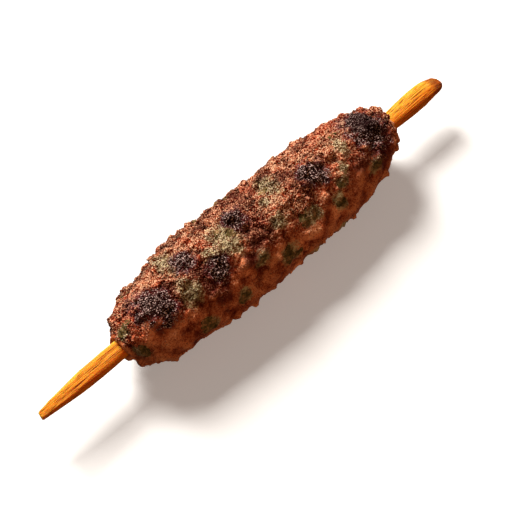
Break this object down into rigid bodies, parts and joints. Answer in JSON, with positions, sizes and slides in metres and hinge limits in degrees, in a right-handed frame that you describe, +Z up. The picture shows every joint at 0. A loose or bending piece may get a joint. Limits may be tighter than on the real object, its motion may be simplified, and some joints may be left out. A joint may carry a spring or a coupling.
{
  "type": "kofta skewer",
  "caption": "Log of browned minced meat with chopped herbs, pressed round a flat wooden skewer that stands out at both ends.",
  "frame": {"origin": "on the table under the middle of the skewer, at the centre of the underside of the bounding box", "axes": "+X along the skewer from its point to its blunt end, +Y across it, +Z up from the table"},
  "size_m": [0.2, 0.0399, 0.0357],
  "materials": {
    "meat": "rough browned mince with charred lumps, green herb flecks and a slight shine of fat",
    "wood": "whittled wood, orange-yellow, fine dark grain along its length, dry"
  },
  "bodies": {
    "root": {"meat": "meat", "skewer": "wood"}
  },
  "joints": []
}
